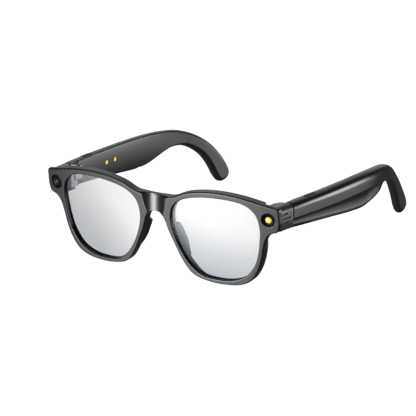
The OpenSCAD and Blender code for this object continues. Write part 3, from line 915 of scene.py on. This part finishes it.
def camera_glass_material():
    """Black glass over a small coated lens, whose violet shine in the middle is a painted
    reflection.
    """
    mat, tree, shader = nodes_of("camera_glass")
    # Painted reflection: violet streaks of the coating's shine, mixed in near the middle
    reflection_streak = between(tree, noise(tree, 1.1, 3.0, (1, 1, 2.2)), 0, 1, 0.42, 0.6)
    tint = blend_colours(tree, reflection_streak, linear((120, 60, 150)), linear((196, 120, 190)))
    coords = tree.nodes.new("ShaderNodeTexCoord")
    away = tree.nodes.new("ShaderNodeVectorMath")
    away.operation = "DISTANCE"
    centre = place(wrap_front(np.array([[-PORT[0], 0.6, PORT[1]]])))[0]
    away.inputs[1].default_value = tuple(centre)
    tree.links.new(coords.outputs["Object"], away.inputs[0])
    core = between(tree, away.outputs["Value"], 0.5, 0, 0.3 * MM, 1.0 * MM)
    colour = blend_colours(tree, core, linear((9, 9, 11)), (1, 1, 1, 1))
    tree.links.new(tint, colour.node.inputs["B"])
    tree.links.new(colour, shader.inputs["Base Color"])
    shader.inputs["Roughness"].default_value = 0.3
    shader.inputs["IOR"].default_value = 1.2
    return mat


camera_glass = camera_glass_material()

# ---- Pieces ----

SOFT_SHARP = 58
LATHE_SHARP = 50


def stand_in(obj, node):
    """Hide the CAD node that a piece stands in for."""
    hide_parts(node)


def add(name, solid, low, high, step, wrap, body, mat, node, side=1, sharp=35):
    """Mesh a solid inside a box and stand it in for a node."""
    points, faces = contour(solid, low, high, step * COARSE)
    stand_in(piece(name, wrap(points), faces, body, mat, sharp, side), node)


add("rim_front", front_shell, (-73, -0.2, -26.6), (73, 2.6, 25), 0.2, wrap_front, "front",
    front_plastic, "front_shell")
add("rim_rear", rear_shell, (-73, 2.2, -26.6), (73, 5.4, 25), 0.25, wrap_front, "front",
    rear_plastic, "rear_shell")

for word, side in (("left", 1), ("right", -1)):
    glass = piece("glass_" + word, *lens_blank(), "front", lens_glass[side], side=side)
    stand_in(glass, "lens_" + word)
    add("pad_" + word, nose_pad, (4, 5, -19), (18, 11, 6), 0.3, wrap_front, "front",
        pad_rubber, "nose_pad_" + word, side)
    add("block_" + word, hinge_block, (62.5, 2, 7), (73.4, 17.8, 21.2), 0.17, keep, "front",
        block_plastic, "hinge_block_" + word, side, SOFT_SHARP)
    temple = "temple_" + word
    add("shell_" + word, temple_shell, (-0.2, 17.5, 1.5), (4, 125.5, 21.3), 0.28, wrap_temple,
        temple, temple_plastic, "temple_shell_" + word, side, SOFT_SHARP)
    add("cover_" + word, temple_cover(side), (2, 17.5, 1.5), (6.6, 125.5, 21.3), 0.34,
        wrap_temple, temple, cover_plastic, "temple_cover_" + word, side)
    add("tip_" + word, temple_tip, (-0.2, 110, -19.5), (6.6, 159, 19.5), 0.34, wrap_temple,
        temple, tip_plastic, "temple_tip_" + word, side)
    add("key_" + word, button, (69, 30, 17), (73, 41, 20.8), 0.18, keep, "button_" + word,
        button_plastic, "button_" + word, side)


def add_lathe(name, profile, at, mat, node, radius):
    """Turn a profile about a port's axis and stand it in for a node."""
    points, faces = lathe(rounded(profile, radius), at)
    stand_in(piece(name, wrap_front(points), faces, "front", mat, LATHE_SHARP), node)


CAMERA_PORT = (-PORT[0], PORT[1])
add_lathe("ring_light", [
    (3.8, 2.3), (3.8, 0.05), (3.62, -0.06), (3.4, 0.06), (3.1, 0.06), (2.75, 0.45), (1.75, 0.5),
    (1.75, 0.75), (2.05, 0.85), (2.05, 2.3)], PORT, bezel_black, "light_bezel",
    0.1)
add_lathe("ring_camera", [
    (3.8, 2.3), (3.8, 0.05), (3.62, -0.06), (3.4, 0.06), (3.1, 0.06), (2.85, 0.4), (2.85, 2.3)],
    CAMERA_PORT, bezel_black, "camera_bezel", 0.1)
add_lathe("dome_light", [
    (0.001, 1.6), (1.98, 1.6), (1.98, 0.95), (1.68, 0.8), (1.66, 0.3), (1.4, 0.14), (0.8, 0.02),
    (0.001, -0.02)], PORT, light_glass, "light_window", 0.3)
add_lathe("glass_camera", [
    (0.001, 1.0), (2.8, 1.0), (2.8, 0.42), (2.4, 0.34), (1.9, 0.5), (1.5, 0.56), (1.35, 0.36),
    (0.7, 0.3), (0.001, 0.3)], CAMERA_PORT, camera_glass, "camera_window",
    0.2)

# The hidden and small parts keep their CAD shapes, with their edges broken
CARRIED = (
    (module_black, ["camera_module"]),
    (board_green, ["camera_board", "light_board", "circuit_board_left", "circuit_board_right"]),
    (flex_orange, ["front_flex"]),
    (hinge_steel, [
        "front_leaf_left", "front_leaf_right", "front_leaf_screws", "hinge_pin_left",
        "hinge_pin_right", "temple_leaf_left", "temple_leaf_right", "temple_leaf_screws_left",
        "temple_leaf_screws_right", "tip_core_left", "tip_core_right"]),
    (switch_metal, ["button_switch_left", "button_switch_right"]),
    (battery_foil, ["battery_left", "battery_right"]),
    (speaker_black, ["speaker_left", "speaker_right", "microphone_left", "microphone_right"]),
    (mesh_steel, ["speaker_mesh_left", "speaker_mesh_right"]),
    (contact_gold, ["charge_contacts"]),
)
BROKEN_EDGE = 0.12
BROKEN_ANGLE = math.radians(40)
for mat, names in CARRIED:
    for name in names:
        obj = frame["nodes"][name]
        obj.data.materials.clear()
        obj.data.materials.append(mat)
        edge = obj.modifiers.new("edge", "BEVEL")
        edge.width = BROKEN_EDGE * MM
        edge.segments = 2
        edge.limit_method = "ANGLE"
        edge.angle_limit = BROKEN_ANGLE

# ---- Camera ----

CAMERA_AT = Vector((670.73, -967.19, 354.01)) * MM
CAMERA_BACK = Vector((0.52852, -0.80126, 0.28045)).normalized()
FOCAL = 205.34
SENSOR = 36
# Half a pixel
CENTRE_SHIFT = 0.5 / 416
camera_data = bpy.data.cameras.new("camera")
camera_data.sensor_width = SENSOR
camera_data.lens = FOCAL
camera_data.shift_x, camera_data.shift_y = -CENTRE_SHIFT, CENTRE_SHIFT
camera_data.clip_start = 0.01
camera = bpy.data.objects.new("camera", camera_data)
bpy.context.scene.collection.objects.link(camera)
right = Vector((-CAMERA_BACK.y, CAMERA_BACK.x, 0)).normalized()
up = CAMERA_BACK.cross(right)
turn = Matrix((right, up, CAMERA_BACK)).transposed().to_4x4()
camera.matrix_world = STAND @ (Matrix.Translation(CAMERA_AT) @ turn)
bpy.context.scene.camera = camera

# ---- Floor ----

FLOOR = 1.5
FLOOR_GLOW = 1.05
floor_mat, floor_tree, floor_shader = nodes_of("floor_pale")
floor_tone = blend_colours(floor_tree, noise(floor_tree, 90.0, 3.0), (0.88, 0.88, 0.88, 1),
                           (0.92, 0.92, 0.92, 1))
floor_tree.links.new(floor_tone, floor_shader.inputs["Base Color"])
floor_tree.links.new(floor_tone, floor_shader.inputs["Emission Color"])
floor_shader.inputs["Emission Strength"].default_value = FLOOR_GLOW
floor_shader.inputs["Roughness"].default_value = 0.8
floor_mesh = bpy.data.meshes.new("floor")
floor_mesh.from_pydata([(-FLOOR, -FLOOR, -MM), (FLOOR, -FLOOR, -MM), (FLOOR, FLOOR, -MM),
                        (-FLOOR, FLOOR, -MM)], [], [(0, 1, 2, 3)])
floor_mesh.materials.append(floor_mat)
floor = bpy.data.objects.new("floor", floor_mesh)
bpy.context.scene.collection.objects.link(floor)
# The floor is only looked at: it neither shades the glasses nor shows in their gloss
floor.visible_diffuse = floor.visible_glossy = floor.visible_shadow = False

# ---- Studio: a white room for the camera, and soft lights for everything else ----

WHITE = (1, 1, 1, 1)
ROOM = (0.085, 0.09, 0.1, 1)
# Direction of each soft light, its brightness, the angles it fades between, and its tint
LIGHTS = [
    ((-0.53, -0.71, -0.47), 2.45, 6, 24, (1, 1, 1)),
    ((-0.38, -0.89, -0.12), 20.0, 5, 19, (1, 1, 1)),
    ((0.59, 0.80, -0.04), 8.0, 2, 10, (1, 1, 1)),
    ((0.56, 0.80, -0.18), 1.0, 6, 16, (1, 1, 1)),
    ((0.86, 0.43, -0.15), 2.2, 10, 26, (1, 1, 1)),
    ((-0.22, 0.80, 0.50), 0.75, 20, 34, (0.85, 0.93, 1)),
    ((-0.60, 0.80, 0.12), 0.25, 8, 20, (1, 1, 1)),
]

world = bpy.data.worlds.new("studio")
bpy.context.scene.world = world
world.use_nodes = True
tree = world.node_tree
tree.nodes.clear()
coords = tree.nodes.new("ShaderNodeTexCoord")
total = None
for direction, power, inner, outer, tint in LIGHTS:
    dot = tree.nodes.new("ShaderNodeVectorMath")
    dot.operation = "DOT_PRODUCT"
    dot.inputs[1].default_value = tuple(Vector(direction).normalized())
    tree.links.new(coords.outputs["Generated"], dot.inputs[0])
    fade = tree.nodes.new("ShaderNodeMapRange")
    fade.interpolation_type = "SMOOTHSTEP"
    fade.inputs["From Min"].default_value = math.cos(math.radians(outer))
    fade.inputs["From Max"].default_value = math.cos(math.radians(inner))
    fade.inputs["To Max"].default_value = power
    tree.links.new(dot.outputs["Value"], fade.inputs["Value"])
    scale = tree.nodes.new("ShaderNodeVectorMath")
    scale.operation = "SCALE"
    scale.inputs[0].default_value = tint
    tree.links.new(fade.outputs["Result"], scale.inputs["Scale"])
    add_up = tree.nodes.new("ShaderNodeVectorMath")
    add_up.operation = "ADD"
    add_up.inputs[0].default_value = ROOM[:3]
    if total is not None:
        tree.links.new(total, add_up.inputs[0])
    tree.links.new(scale.outputs["Vector"], add_up.inputs[1])
    total = add_up.outputs["Vector"]
room = tree.nodes.new("ShaderNodeBackground")
tree.links.new(total, room.inputs["Color"])
blank = tree.nodes.new("ShaderNodeBackground")
blank.inputs["Color"].default_value = WHITE
rays = tree.nodes.new("ShaderNodeLightPath")
choose = tree.nodes.new("ShaderNodeMixShader")
tree.links.new(rays.outputs["Is Camera Ray"], choose.inputs["Fac"])
tree.links.new(room.outputs["Background"], choose.inputs[1])
tree.links.new(blank.outputs["Background"], choose.inputs[2])
out = tree.nodes.new("ShaderNodeOutputWorld")
tree.links.new(choose.outputs["Shader"], out.inputs["Surface"])
bpy.context.scene.view_settings.view_transform = "Standard"
